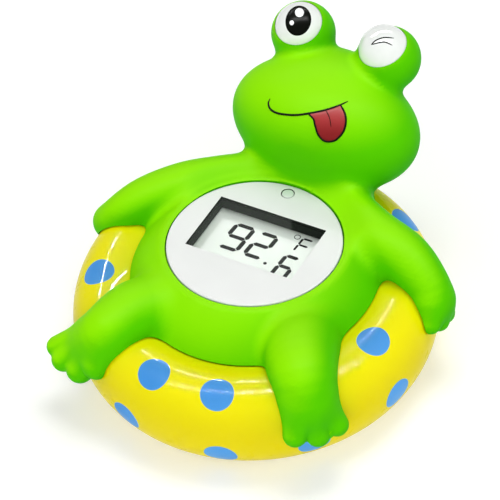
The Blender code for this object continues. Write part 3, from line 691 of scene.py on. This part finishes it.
def clear_window():
    """Clear plastic with a painted sheen: a reflection painted lighter and less clear left of a slanting
    line.
    """
    look = Look("clear_window", Roughness=0.04, Specular_IOR_Level=0.2)
    place = np.array(PLACE @ CAPSULE)
    slanted = (place[:3, 0] + PAINTED_SHEEN_SLANT * place[:3, 1]) / MM
    across = look.vector("DOT_PRODUCT", look.coords(), tuple(slanted))
    corner = place[:3, :3] @ np.array([PAINTED_SHEEN_X, WIN_Y[1], 0.0]) + place[:3, 3]
    edge = float(corner @ slanted)
    # painted sheen: the window's colour and cover are lighter left of the slanting line, standing in for a
    # reflection
    painted_sheen = look.smooth(across, edge + PAINTED_SHEEN_FADE, edge - PAINTED_SHEEN_FADE)
    look.set(Base_Color=look.mix(painted_sheen, srgb(90, 96, 92), srgb(215, 222, 216)))
    look.set(Alpha=painted_sheen * 0.02 + look.noise(60.0) * 0.004 + 0.003)
    return look.material


# Frog figure, cut to sit on the ring and to take the display


SEAT_LOW = -30.0
PLUG_TOP = RING_Z - 0.5
PLUG_LOW = 1.5
PLUG_EDGE = 1.5


def seat_profile(count):
    """Outline of what the figure sits on: up the ring's outside, over its crest and down into its hole."""
    t = math.pi * np.arange(count + 1) / count
    wide = np.where(t < math.pi / 2, RING_OUT, RING_IN) + GAP
    arc = np.stack([RING_R + wide * np.cos(t), RING_Z + (RING_TOP + GAP) * np.sin(t)], 1)
    plug = arc[-1, 0] - 2 * GAP
    arc[-1] = (plug, PLUG_TOP)
    base = [(0.0, SEAT_LOW), (RING_R + RING_OUT + GAP, SEAT_LOW)]
    end = [(plug, PLUG_LOW + PLUG_EDGE), (plug - PLUG_EDGE, PLUG_LOW), (0.0, PLUG_LOW)]
    return np.vstack([base, arc, end])


figure_skin = skin(lambda p: np.maximum(figure(p), FLAT_BASE - p[..., 2]), *SKIN_BOX, SKIN_STEP)
seat_tool = placed(lathe_grid(seat_profile(64), 192))
bore = [
    (0.0, BORE_ENDS[0]), (BORE_R, BORE_ENDS[0]), (BORE_R, TRAY_LOW - GAP), (TRAY_R + GAP, TRAY_LOW - GAP),
    (TRAY_R + GAP, -SKIRT_LOW - GAP), (BEZEL_R + GAP, -SKIRT_LOW - GAP), (BEZEL_R + GAP, BORE_ENDS[1]),
    (0.0, BORE_ENDS[1]),
]
bore_tool = placed(lathe_grid(bore, 160), local=True)
facing = np.array(EYE_FACING) / np.linalg.norm(EYE_FACING)
EYES = {
    "right": np.array(BUMP_C) * (-1.0, 1.0, 1.0) + facing * EYE_OUT,
    "left": np.array(BUMP_C) + facing * EYE_OUT + np.array(WINK_ASIDE),
}


def ball(centre, radius, rows=49, segments=96):
    """Sphere about the eye's facing axis: a half circle of (r, z) turned round it, its poles closed."""
    a = math.pi * (np.linspace(0, 1, rows) - 0.5)
    profile = np.stack([radius * np.cos(a), radius * np.sin(a)], 1)
    profile[[0, -1], 0] = 0.0
    verts, faces = lathe_grid(profile, segments)
    side = np.cross((0.0, 1.0, 0.0), facing)
    side /= np.linalg.norm(side)
    turn = np.stack([side, np.cross(facing, side), facing])
    return verts @ turn + centre, faces


sockets = [placed(ball(centre, EYE_R + SOCKET_GAP, 33, 72)) for centre in EYES.values()]
frog_mesh = boolean_mesh("frog_figure", placed(figure_skin), [seat_tool, bore_tool, *sockets])
frog = finish_piece("frog_figure", frog_mesh, green, crease=48.0)
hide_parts("frog_body")

# Swim ring


def tube_outline(count):
    """Outline of the egg tube: r = R + w cos t, z = Z + h sin t, with w and h set by the quarter and z kept
    above the floor."""
    tube = np.arange(count) * 2 * math.pi / count
    wide = np.where(np.cos(tube) > 0, RING_OUT, RING_IN)
    tall = np.where(np.sin(tube) > 0, RING_TOP, RING_LOW)
    r = RING_R + wide * np.cos(tube)
    return np.stack([r, np.maximum(RING_Z + tall * np.sin(tube), 0.0)], 1)


ring_tube = lathe_grid(tube_outline(112), 256)
ring = add_piece("ring_moulding", *ring_tube, yellow, "yellow_vinyl", crease=60.0)
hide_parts("swim_ring")

# Prints, laid on the face and eyes along the lines of sight of the photograph's angle


SIGHT_START = FAR - 90.0
SIGHT_STEPS = 60
SIGHT_SHARE = 0.85
PRINT_SINK = 0.25
LINE_SIDES = 10


def on_surface(pixels, field):
    """Points where the lines of sight through the pixels meet field = 0, stepped to by a share of its
    value."""
    pixels = np.asarray(pixels, float)
    eye = RING_CENTRE + VIEW_C * FAR
    across = (pixels[..., :1] - PRINCIPAL[0]) / PX_PER_MM * VIEW_R
    upward = (PRINCIPAL[1] - pixels[..., 1:]) / PX_PER_MM * VIEW_U
    line = RING_CENTRE + across + upward - eye
    line /= np.linalg.norm(line, axis=-1, keepdims=True)
    far = np.full(pixels.shape[:-1], SIGHT_START)
    for _ in range(SIGHT_STEPS):
        far += SIGHT_SHARE * field(eye + line * far[..., None])
    return eye + line * far[..., None]


def rounded(points, count, closed=False):
    """Catmull-Rom curve through the points, at evenly spaced parameters."""
    p = np.asarray(points, float)
    p = np.vstack([p[-1:], p, p[:2]]) if closed else np.vstack([2 * p[0] - p[1], p, 2 * p[-1] - p[-2]])
    u = np.linspace(0, len(p) - 3, count, endpoint=not closed)
    k = np.minimum(u.astype(int), len(p) - 4)
    t = (u - k)[:, None]
    a, b, c, d = p[k], p[k + 1], p[k + 2], p[k + 3]
    return 0.5 * (2 * b + (c - a) * t + (2 * a - 5 * b + 4 * c - d) * t**2 + (3 * b - a - 3 * c + d) * t**3)


def print_patch(name, outline, field, look, slot, lift, rings=14):
    """A thin pad on a surface: grid of s (centre to rim) and t (round the outline), raised by
    lift (1 - 0.9 s^10), with the same grid sunk below the surface as its back."""
    outline = np.asarray(outline, float)
    middle = outline.mean(0)
    s = np.linspace(0, 1, rings)[1:, None, None]
    flat = middle + s * (outline - middle)
    top = on_surface(flat, field)
    up = normals_of(field, top)
    centre = on_surface(middle[None], field)
    centre_up = normals_of(field, centre)
    raised = top + up * (lift * (1 - 0.9 * s**10))
    sunk = top - up * PRINT_SINK
    n = len(outline)
    ends = [centre + centre_up * lift, centre - centre_up * PRINT_SINK]
    verts = np.vstack([raised.reshape(-1, 3), sunk.reshape(-1, 3), *ends])
    i, j = np.meshgrid(np.arange(rings - 2), np.arange(n), indexing="ij")
    j2 = (j + 1) % n
    quads = np.stack([i * n + j, (i + 1) * n + j, (i + 1) * n + j2, i * n + j2], -1).reshape(-1, 4)
    layer = (rings - 1) * n
    faces = quads.tolist() + (quads[:, ::-1] + layer).tolist()
    k = np.arange(n)
    k2 = (k + 1) % n
    rim = (rings - 2) * n
    faces += np.stack([rim + k, layer + rim + k, layer + rim + k2, rim + k2], -1).tolist()
    faces += np.stack([np.full(n, 2 * layer), k, k2], -1).tolist()
    faces += np.stack([np.full(n, 2 * layer + 1), layer + k2, layer + k], -1).tolist()
    return outward(add_piece(name, verts, faces, look, slot, crease=60.0))


def outward(piece):
    """Turns a closed piece's faces out where its signed volume is negative."""
    edit = bmesh.new()
    edit.from_mesh(piece.data)
    if edit.calc_volume(signed=True) < 0:
        bmesh.ops.reverse_faces(edit, faces=edit.faces)
        edit.to_mesh(piece.data)
    edit.free()
    return piece


def print_line(name, path, half, field, look, slot, lift, count, taper=0.25):
    """A painted line: an ellipse of half-widths (half, lift) carried along the path on the surface, its width
    falling to the taper at both ends as (1 - |2u - 1|^6)."""
    points = on_surface(rounded(path, count), field)
    up = normals_of(field, points)
    along = np.gradient(points, axis=0)
    along /= np.linalg.norm(along, axis=1, keepdims=True)
    side = np.cross(along, up)
    side /= np.linalg.norm(side, axis=1, keepdims=True)
    u = np.linspace(0, 1, count)
    width = half * (taper + (1 - taper) * (1 - np.abs(2 * u - 1) ** 6))
    sides = LINE_SIDES
    a = np.arange(sides) * 2 * math.pi / sides
    verts = points[:, None] + width[:, None, None] * np.cos(a)[:, None] * side[:, None]
    verts = verts + lift * np.sin(a)[:, None] * up[:, None]
    i, j = np.meshgrid(np.arange(count - 1), np.arange(sides), indexing="ij")
    j2 = (j + 1) % sides
    quads = np.stack([i * sides + j, (i + 1) * sides + j, (i + 1) * sides + j2, i * sides + j2], -1)
    faces = quads.reshape(-1, 4).tolist()
    faces += [list(range(sides)), list(range(count * sides - 1, (count - 1) * sides - 1, -1))]
    return outward(add_piece(name, verts.reshape(-1, 3), faces, look, slot, crease=70.0))


# Prints on the face: picture points along each, from the photograph's angle
MOUTH = (
    (270.1, 98.6), (268.4, 103.6), (271.0, 109.6), (279.0, 113.4), (293.4, 114.9), (307.7, 113.5),
    (325.3, 109.9), (338.0, 105.7), (348.0, 101.2),
)
TONGUE = (
    (308.6, 113.8), (313.4, 118.6), (315.2, 125.5), (318.0, 134.0), (323.0, 140.0), (329.0, 141.6),
    (336.5, 139.4), (343.6, 131.0), (346.0, 121.0), (344.6, 112.5), (340.6, 104.9), (332.0, 107.9),
    (320.0, 111.4),
)
TONGUE_EDGE = TONGUE[:11]
TONGUE_FOLD = ((325.9, 110.4), (328.3, 114.5), (330.2, 120.0), (331.2, 127.2))
print_patch("tongue", rounded(TONGUE, 120, True), figure, tongue_red(), "green_vinyl", lift=0.16)
print_line("mouth_line", MOUTH, 0.3, figure, line_black, "green_vinyl", lift=0.2, count=90)
print_line("tongue_edge", TONGUE_EDGE, 0.3, figure, line_black, "green_vinyl", lift=0.24, count=90, taper=0.7)
print_line(
    "tongue_fold", TONGUE_FOLD, 0.16, figure, line_black, "green_vinyl", lift=0.25, count=30, taper=0.2,
)


def eye_field(side):
    """Distance to the eye's ball."""
    centre = EYES[side]
    return lambda points: np.linalg.norm(points - centre, axis=-1) - EYE_R


def oval(centre, half, lean, count=64):
    """Points centre + a cos t along the minor axis and b sin t along the major one, leaning right by lean."""
    t = np.arange(count) * 2 * math.pi / count
    c = math.cos(math.radians(lean))
    s = math.sin(math.radians(lean))
    x = half[0] * np.cos(t)
    y = half[1] * np.sin(t)
    return np.stack([centre[0] + x * c - y * s, centre[1] + x * s + y * c], 1)


for side, slot in (("right", "eye_white_open"), ("left", "eye_white_wink")):
    eye = add_piece("eye_" + side, *ball(EYES[side], EYE_R), eye_white, slot)
    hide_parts("eye_ball_" + side)
open_eye = eye_field("right")
PUPIL = oval((298.4, 20.3), (12.8, 15.3), 14.0)
GLINT_LARGE = oval((299.5, 12.2), (4.9, 4.9), 0.0, 40)
GLINT_SMALL = oval((291.8, 22.4), (2.5, 2.8), 0.0, 32)
print_patch("pupil", PUPIL, open_eye, ink_black, "eye_white_open", lift=0.06)
print_patch("glint_large", GLINT_LARGE, open_eye, ink_white, "eye_white_open", lift=0.1, rings=8)
print_patch("glint_small", GLINT_SMALL, open_eye, ink_white, "eye_white_open", lift=0.1, rings=6)
winking_eye = eye_field("left")
WINK_UPPER = ((371.3, 44.4), (376.3, 39.9), (384.2, 37.2), (394.3, 37.7))
WINK_LOWER = ((371.3, 44.4), (379.5, 42.3), (385.8, 41.9), (392.6, 45.0))
print_line("wink_upper", WINK_UPPER, 0.2, winking_eye, line_black, "eye_white_wink", lift=0.06, count=40)
print_line("wink_lower", WINK_LOWER, 0.19, winking_eye, line_black, "eye_white_wink", lift=0.06, count=40)

# Bezel, its light and the display's reading
bezel_profile = [
    (0.0, -BEZEL_T), (BEZEL_R - SKIRT_T, -BEZEL_T), (BEZEL_R - SKIRT_T, -SKIRT_LOW), (BEZEL_R, -SKIRT_LOW),
    (BEZEL_R, 0.0), (0.0, 0.0),
]
bezel_shape = placed(lathe_grid(fillet(bezel_profile, 0.45, 7, skip=(1, 2)), 192), local=True)
cut_low, cut_top = -3.0, 2.0
window_tool = placed(block(*WIN_X, *WIN_Y, cut_low, cut_top), local=True)
light_hole = [(0.0, cut_low), (LED_R, cut_low), (LED_R, cut_top), (0.0, cut_top)]
light_tool = placed(lathe_grid(light_hole, 64, LED_XY), local=True)
bezel_mesh = boolean_mesh("bezel_disc", bezel_shape, [window_tool, light_tool])
to_local = np.array((PLACE @ CAPSULE).inverted())
middles = np.zeros(len(bezel_mesh.polygons) * 3)
bezel_mesh.polygons.foreach_get("center", middles)
middles = middles.reshape(-1, 3) @ to_local[:3, :3].T + to_local[:3, 3]
between = (middles[:, 2] < -0.02) & (middles[:, 2] > -BEZEL_T + 0.02)
wall = between & (np.hypot(middles[:, 0], middles[:, 1]) < BEZEL_R - SKIRT_T)
bezel = finish_piece("bezel_disc", bezel_mesh, [bezel_white, wall_black], crease=40.0)
bezel_mesh.polygons.foreach_set("material_index", wall.astype(np.int32))
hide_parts("bezel")
lens_profile = [
    (0.0, LENS_STEM[1]), LENS_STEM, (LENS_STEM[0], -LENS_T), (LED_R - LENS_GAP, -LENS_T),
    (LED_R - LENS_GAP, 0.0), (0.0, LENS_DOME),
]
lens = lathe_grid(fillet(lens_profile, 0.2, 5), 64, LED_XY)
led_lens = add_piece("light_lens", *lens, lens_milky, "lens_milky", local=True)
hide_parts("led_lens")

INK_LOW = LCD_Z + 0.01
INK_TOP = LCD_Z + 0.05
SLANT = 0.06
BAR_GAP = 0.1
SEGMENTS = {"9": "abcdfg", "2": "abdeg", "6": "acdefg", "F": "aefg"}


def bar(a, b, half, z0, z1):
    """A six-sided bar from a to b with pointed ends, half wide each side, as a flat prism."""
    a = np.array(a, float)
    b = np.array(b, float)
    along = (b - a) / np.linalg.norm(b - a)
    side = np.array([-along[1], along[0]]) * half
    near = a + along * half
    far = b - along * half
    flat = np.array([a, near + side, far + side, b, far - side, near - side])
    verts = np.vstack([np.column_stack([flat, np.full(6, z)]) for z in (z0, z1)])
    faces = [tuple(range(6)), tuple(range(11, 5, -1))]
    faces += [(k, k + 6, (k + 1) % 6 + 6, (k + 1) % 6) for k in range(6)]
    return verts, faces


def figure_bars(glyph, x0, x1, y0, y1, half):
    """Seven-segment glyph in a box, leaning right: a top, b and c right, d bottom, e and f left, g middle."""
    left = x0 + half
    right = x1 - half
    low = y0 + half
    high = y1 - half
    mid = (low + high) / 2
    ends = {
        "a": ((left, high), (right, high)),
        "b": ((right, mid), (right, high)),
        "c": ((right, low), (right, mid)),
        "d": ((left, low), (right, low)),
        "e": ((left, low), (left, mid)),
        "f": ((left, mid), (left, high)),
        "g": ((left, mid), (right, mid)),
    }
    shapes = []
    for key in SEGMENTS[glyph]:
        a, b = (np.array(p) for p in ends[key])
        along = (b - a) / np.linalg.norm(b - a) * BAR_GAP
        verts, faces = bar(a + along, b - along, half, INK_LOW, INK_TOP)
        verts[:, 0] += SLANT * (verts[:, 1] - high)
        shapes.append((verts, faces))
    return shapes


def joined(shapes):
    """The shapes' points and faces as one shape."""
    verts = []
    faces = []
    start = 0
    for v, f in shapes:
        verts.append(v)
        faces += [[k + start for k in face] for face in f]
        start += len(v)
    return np.vstack(verts), faces


# Figures: glyph, its box and the half-width of its bars
READING = (
    ("9", -10.35, -3.9, -1.9, 8.6, 0.62),
    ("2", -2.75, 3.3, -1.9, 8.4, 0.62),
    ("6", 7.4, 12.3, -6.0, 3.4, 0.58),
    ("F", 8.8, 12.3, 5.0, 10.8, 0.31),
)
POINT_XY = (4.15, -2.25)
POINT_R = 0.5
DEGREE_XY = (7.4, 10.35)
DEGREE_R = (0.72, 0.92)
reading = [shape for glyph in READING for shape in figure_bars(*glyph)]
point = [(0.0, INK_LOW), (POINT_R, INK_LOW), (POINT_R, INK_TOP), (0.0, INK_TOP)]
reading.append(lathe_grid(point, 32, POINT_XY))
hole, rim = DEGREE_R
degree = [(hole, INK_LOW), (rim, INK_LOW), (rim, INK_TOP), (hole, INK_TOP)]
reading.append(lathe_grid(degree, 40, DEGREE_XY))
outward(add_piece("display_reading", *joined(reading), lcd_ink, "lcd_panel", local=True, crease=20.0))

# Water side: capsule, seal, battery door and probe
shell = [
    (0.0, STEM_LOW), (STEM_R, STEM_LOW), (STEM_R, TRAY_LOW), (TRAY_R, TRAY_LOW), (TRAY_R, TRAY_RIM),
    (TRAY_R - SHELL_T, TRAY_RIM), (TRAY_R - SHELL_T, TRAY_LOW + SHELL_T),
    (STEM_R - SHELL_T, TRAY_LOW + SHELL_T), (STEM_R - SHELL_T, STEM_LOW + SHELL_T),
    (0.0, STEM_LOW + SHELL_T),
]
door_tool = [
    (0.0, BELOW), (DOOR_R + GAP, BELOW), (DOOR_R + GAP, STEM_LOW + DOOR_STEP),
    (CELL_R, STEM_LOW + DOOR_STEP), (CELL_R, CELL_TOP), (0.0, CELL_TOP),
]
probe_tool = [(0.0, BELOW), (PROBE_R + PROBE_FIT, BELOW), (PROBE_R + PROBE_FIT, CELL_TOP), (0.0, CELL_TOP)]
water_side = [
    placed(lathe_grid(door_tool, 72, CELL_XY), local=True),
    placed(lathe_grid(probe_tool, 40, PROBE_XY), local=True),
]
whole_shell = placed(lathe_grid(fillet(shell, 0.5, 5), 120), local=True)
capsule_mesh = boolean_mesh("capsule_shell", whole_shell, water_side)
capsule = finish_piece("capsule_shell", capsule_mesh, capsule_white, crease=40.0)
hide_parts("capsule_housing")
door = [
    (0.0, WATER_FACE), (DOOR_R, WATER_FACE), (DOOR_R, STEM_LOW + DOOR_T), (DOOR_PLUG[0], STEM_LOW + DOOR_T),
    (DOOR_PLUG[0], STEM_LOW + DOOR_PLUG[1]), (0.0, STEM_LOW + DOOR_PLUG[1]),
]
whole_door = placed(lathe_grid(fillet(door, 0.3, 5), 96, CELL_XY), local=True)
long, wide, deep = COIN_SLOT
slot_box = block(CELL_XY[0] - long, CELL_XY[0] + long, -wide, wide, STEM_LOW - 2.0, STEM_LOW + deep)
door_mesh = boolean_mesh("coin_door", whole_door, [placed(slot_box, local=True)])
coin_door = finish_piece("coin_door", door_mesh, capsule_white, crease=40.0)
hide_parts("battery_door")
t = np.arange(20) * 2 * math.pi / 20
seal_profile = np.stack([STEM_R + SEAL_OUT + SEAL_R * np.cos(t), STEM_LOW + SEAL_UP + SEAL_R * np.sin(t)], 1)
seal_ring = lathe_grid(seal_profile, 120)
seal = outward(add_piece("stem_seal", *seal_ring, seal_black, "seal_rubber", local=True, crease=60.0))
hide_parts("housing_seal")
thimble = [
    (0.0, WATER_FACE), (PROBE_R, WATER_FACE), (PROBE_R, WATER_FACE + PROBE_LONG),
    (PROBE_R - PROBE_T, WATER_FACE + PROBE_LONG), (PROBE_R - PROBE_T, WATER_FACE + PROBE_END),
    (0.0, WATER_FACE + PROBE_END),
]
thimble = lathe_grid(fillet(thimble, 0.5, 6), 56, PROBE_XY)
probe = outward(add_piece("probe_thimble", *thimble, probe_steel, "probe_steel", local=True))
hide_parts("probe_cap")

# CAD nodes that stay, with their materials
kept_looks = {
    "window_lens": clear_window(),
    "display_surround": wall_black,
    "lcd_glass": lcd_pale,
    "zebra_strip_front": plain("strip_rubber", srgb(188, 110, 104), 0.55),
    "zebra_strip_rear": plain("strip_rubber_rear", srgb(188, 110, 104), 0.55),
    "circuit_board": plain("board_green", srgb(22, 104, 62), 0.4, grain=500.0),
    "chip_cover": plain("resin_black", srgb(20, 20, 20), 0.3),
    "alarm_led": plain("lamp_amber", srgb(226, 190, 110), 0.25),
    "battery_cup": plain("cup_grey", srgb(160, 160, 164), 0.45),
    "contact_base": plain("nickel", srgb(200, 196, 184), 0.3, metal=1.0),
    "contact_top": plain("nickel_top", srgb(200, 196, 184), 0.3, metal=1.0),
    "battery_cell_lower": plain("cell_steel", srgb(204, 204, 206), 0.25, metal=1.0),
    "battery_cell_upper": plain("cell_steel_upper", srgb(204, 204, 206), 0.25, metal=1.0),
    "thermistor": plain("bead_epoxy", srgb(60, 44, 34), 0.35),
    "lead_wire_front": plain("wire_red", srgb(190, 40, 36), 0.45),
    "lead_wire_rear": plain("wire_blue", srgb(50, 76, 170), 0.45),
}
for name, look in kept_looks.items():
    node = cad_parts[name]
    for slot in node.material_slots:
        slot.material = look

# Floor, lights and camera
SKY = 0.37
FLOOR_BOUNCE = 0.95
FLOOR_SEEN = 0.8
FLOOR_GLOW = 0.34
FLOOR_HALF = 3.0
FLOOR_DROP = 0.0002


def seen_rays(tree):
    """Socket that is 1 for rays from the camera, off mirrored surfaces and through clear ones, and else 0."""
    path = tree.nodes.new("ShaderNodeLightPath")
    seen = path.outputs["Is Camera Ray"]
    for name in ("Is Glossy Ray", "Is Transmission Ray"):
        either = tree.nodes.new("ShaderNodeMath")
        either.operation = "MAXIMUM"
        tree.links.new(seen, either.inputs[0])
        tree.links.new(path.outputs[name], either.inputs[1])
        seen = either.outputs[0]
    return seen


def floor_white():
    """White floor: its own light lifts it to white where it is seen and leaves the shadow grey. The rays
    that only light the object meet a plain floor."""
    look = Look("floor_white", Roughness=0.9, Specular_IOR_Level=0.0, Emission_Strength=FLOOR_GLOW)
    seen = Value(look, seen_rays(look.tree))
    look.set(Base_Color=look.mix(seen, (FLOOR_BOUNCE,) * 3, (FLOOR_SEEN,) * 3))
    look.set(Emission_Color=look.mix(seen, (0.0, 0.0, 0.0), (1.0, 1.0, 1.0)))
    return look.material


floor_data = bpy.data.meshes.new("floor")
corners = [(x * FLOOR_HALF, y * FLOOR_HALF, 0) for x, y in ((-1, -1), (1, -1), (1, 1), (-1, 1))]
floor_data.from_pydata(corners, [], [(0, 1, 2, 3)])
floor_data.materials.append(floor_white())
floor = bpy.data.objects.new("floor", floor_data)
bpy.context.scene.collection.objects.link(floor)
floor.location.z = CAD_BOX[0][2] - FLOOR_DROP

world = bpy.data.worlds.new("studio")
bpy.context.scene.world = world
world.use_nodes = True
backdrop = world.node_tree.nodes["Background"]
backdrop.inputs["Color"].default_value = (1.0, 1.0, 1.0, 1.0)
sky = world.node_tree.nodes.new("ShaderNodeMapRange")
sky.inputs["To Min"].default_value = SKY
world.node_tree.links.new(seen_rays(world.node_tree), sky.inputs["Value"])
world.node_tree.links.new(sky.outputs[0], backdrop.inputs["Strength"])


def lamp(name, place, size, power, target=(0.0, 0.0, 0.02), mirrored=False):
    """Rectangular lamp facing the target, its long side level; a mirrored one shows in reflections alone."""
    data = bpy.data.lights.new(name, "AREA")
    data.shape = "RECTANGLE"
    data.size, data.size_y = size
    data.energy = power
    made = bpy.data.objects.new(name, data)
    back = (Vector(place) - Vector(target)).normalized()
    across = Vector(LEVEL_R.tolist())
    across = (across - back * across.dot(back)).normalized()
    turn = Matrix((across, back.cross(across), back)).transposed().to_4x4()
    made.matrix_world = Matrix.Translation(place) @ turn
    made.visible_glossy = mirrored
    made.visible_diffuse = not mirrored
    bpy.context.scene.collection.objects.link(made)


# Place, size and power of each lamp
lamp("key_above", (0.02, 0.22, 0.8), (0.42, 0.3), 2.7)
lamp("fill_front", (0.1, -0.75, 0.3), (0.7, 0.16), 2.5)
lamp("fill_right", (0.8, 0.2, 0.3), (0.3, 0.3), 1.6)
lamp("fill_low", (0.55, -0.6, 0.13), (0.3, 0.1), 0.55)
lamp("rim_left", (-0.7, -0.15, 0.3), (0.12, 0.5), 0.5)
lamp("strip_over", (0.0, 0.0, 0.75), (1.0, 0.008), 8.0, mirrored=True)
lamp("strip_near", (0.052, -0.082, 0.75), (1.0, 0.008), 10.0, mirrored=True)
lamp("strip_behind", (-0.3, 0.42, 0.56), (0.9, 0.008), 6.0, mirrored=True)

eye_point = RING_CENTRE + VIEW_C * FAR
aim = RING_CENTRE + VIEW_R * (PICTURE / 2 - PRINCIPAL[0]) / PX_PER_MM
aim += VIEW_U * (PRINCIPAL[1] - PICTURE / 2) / PX_PER_MM
back = (eye_point - aim) / np.linalg.norm(eye_point - aim)
right = VIEW_R - back * (VIEW_R @ back)
right /= np.linalg.norm(right)
up = np.cross(back, right)
camera_data = bpy.data.cameras.new("camera")
camera_data.sensor_fit = "HORIZONTAL"
camera_data.sensor_width = SENSOR
camera_data.lens = PX_PER_MM * FAR * SENSOR / PICTURE
camera_data.clip_start = 0.01
camera_data.clip_end = 20.0
camera = bpy.data.objects.new("camera", camera_data)
bpy.context.scene.collection.objects.link(camera)
pose = np.eye(4)
pose[:3, :3] = np.stack([right, up, back], 1)
pose[:3, 3] = AXIS + eye_point * MM
camera.matrix_world = Matrix(pose.tolist())
bpy.context.scene.camera = camera
bpy.context.scene.view_settings.view_transform = "Standard"

bpy.context.view_layer.update()
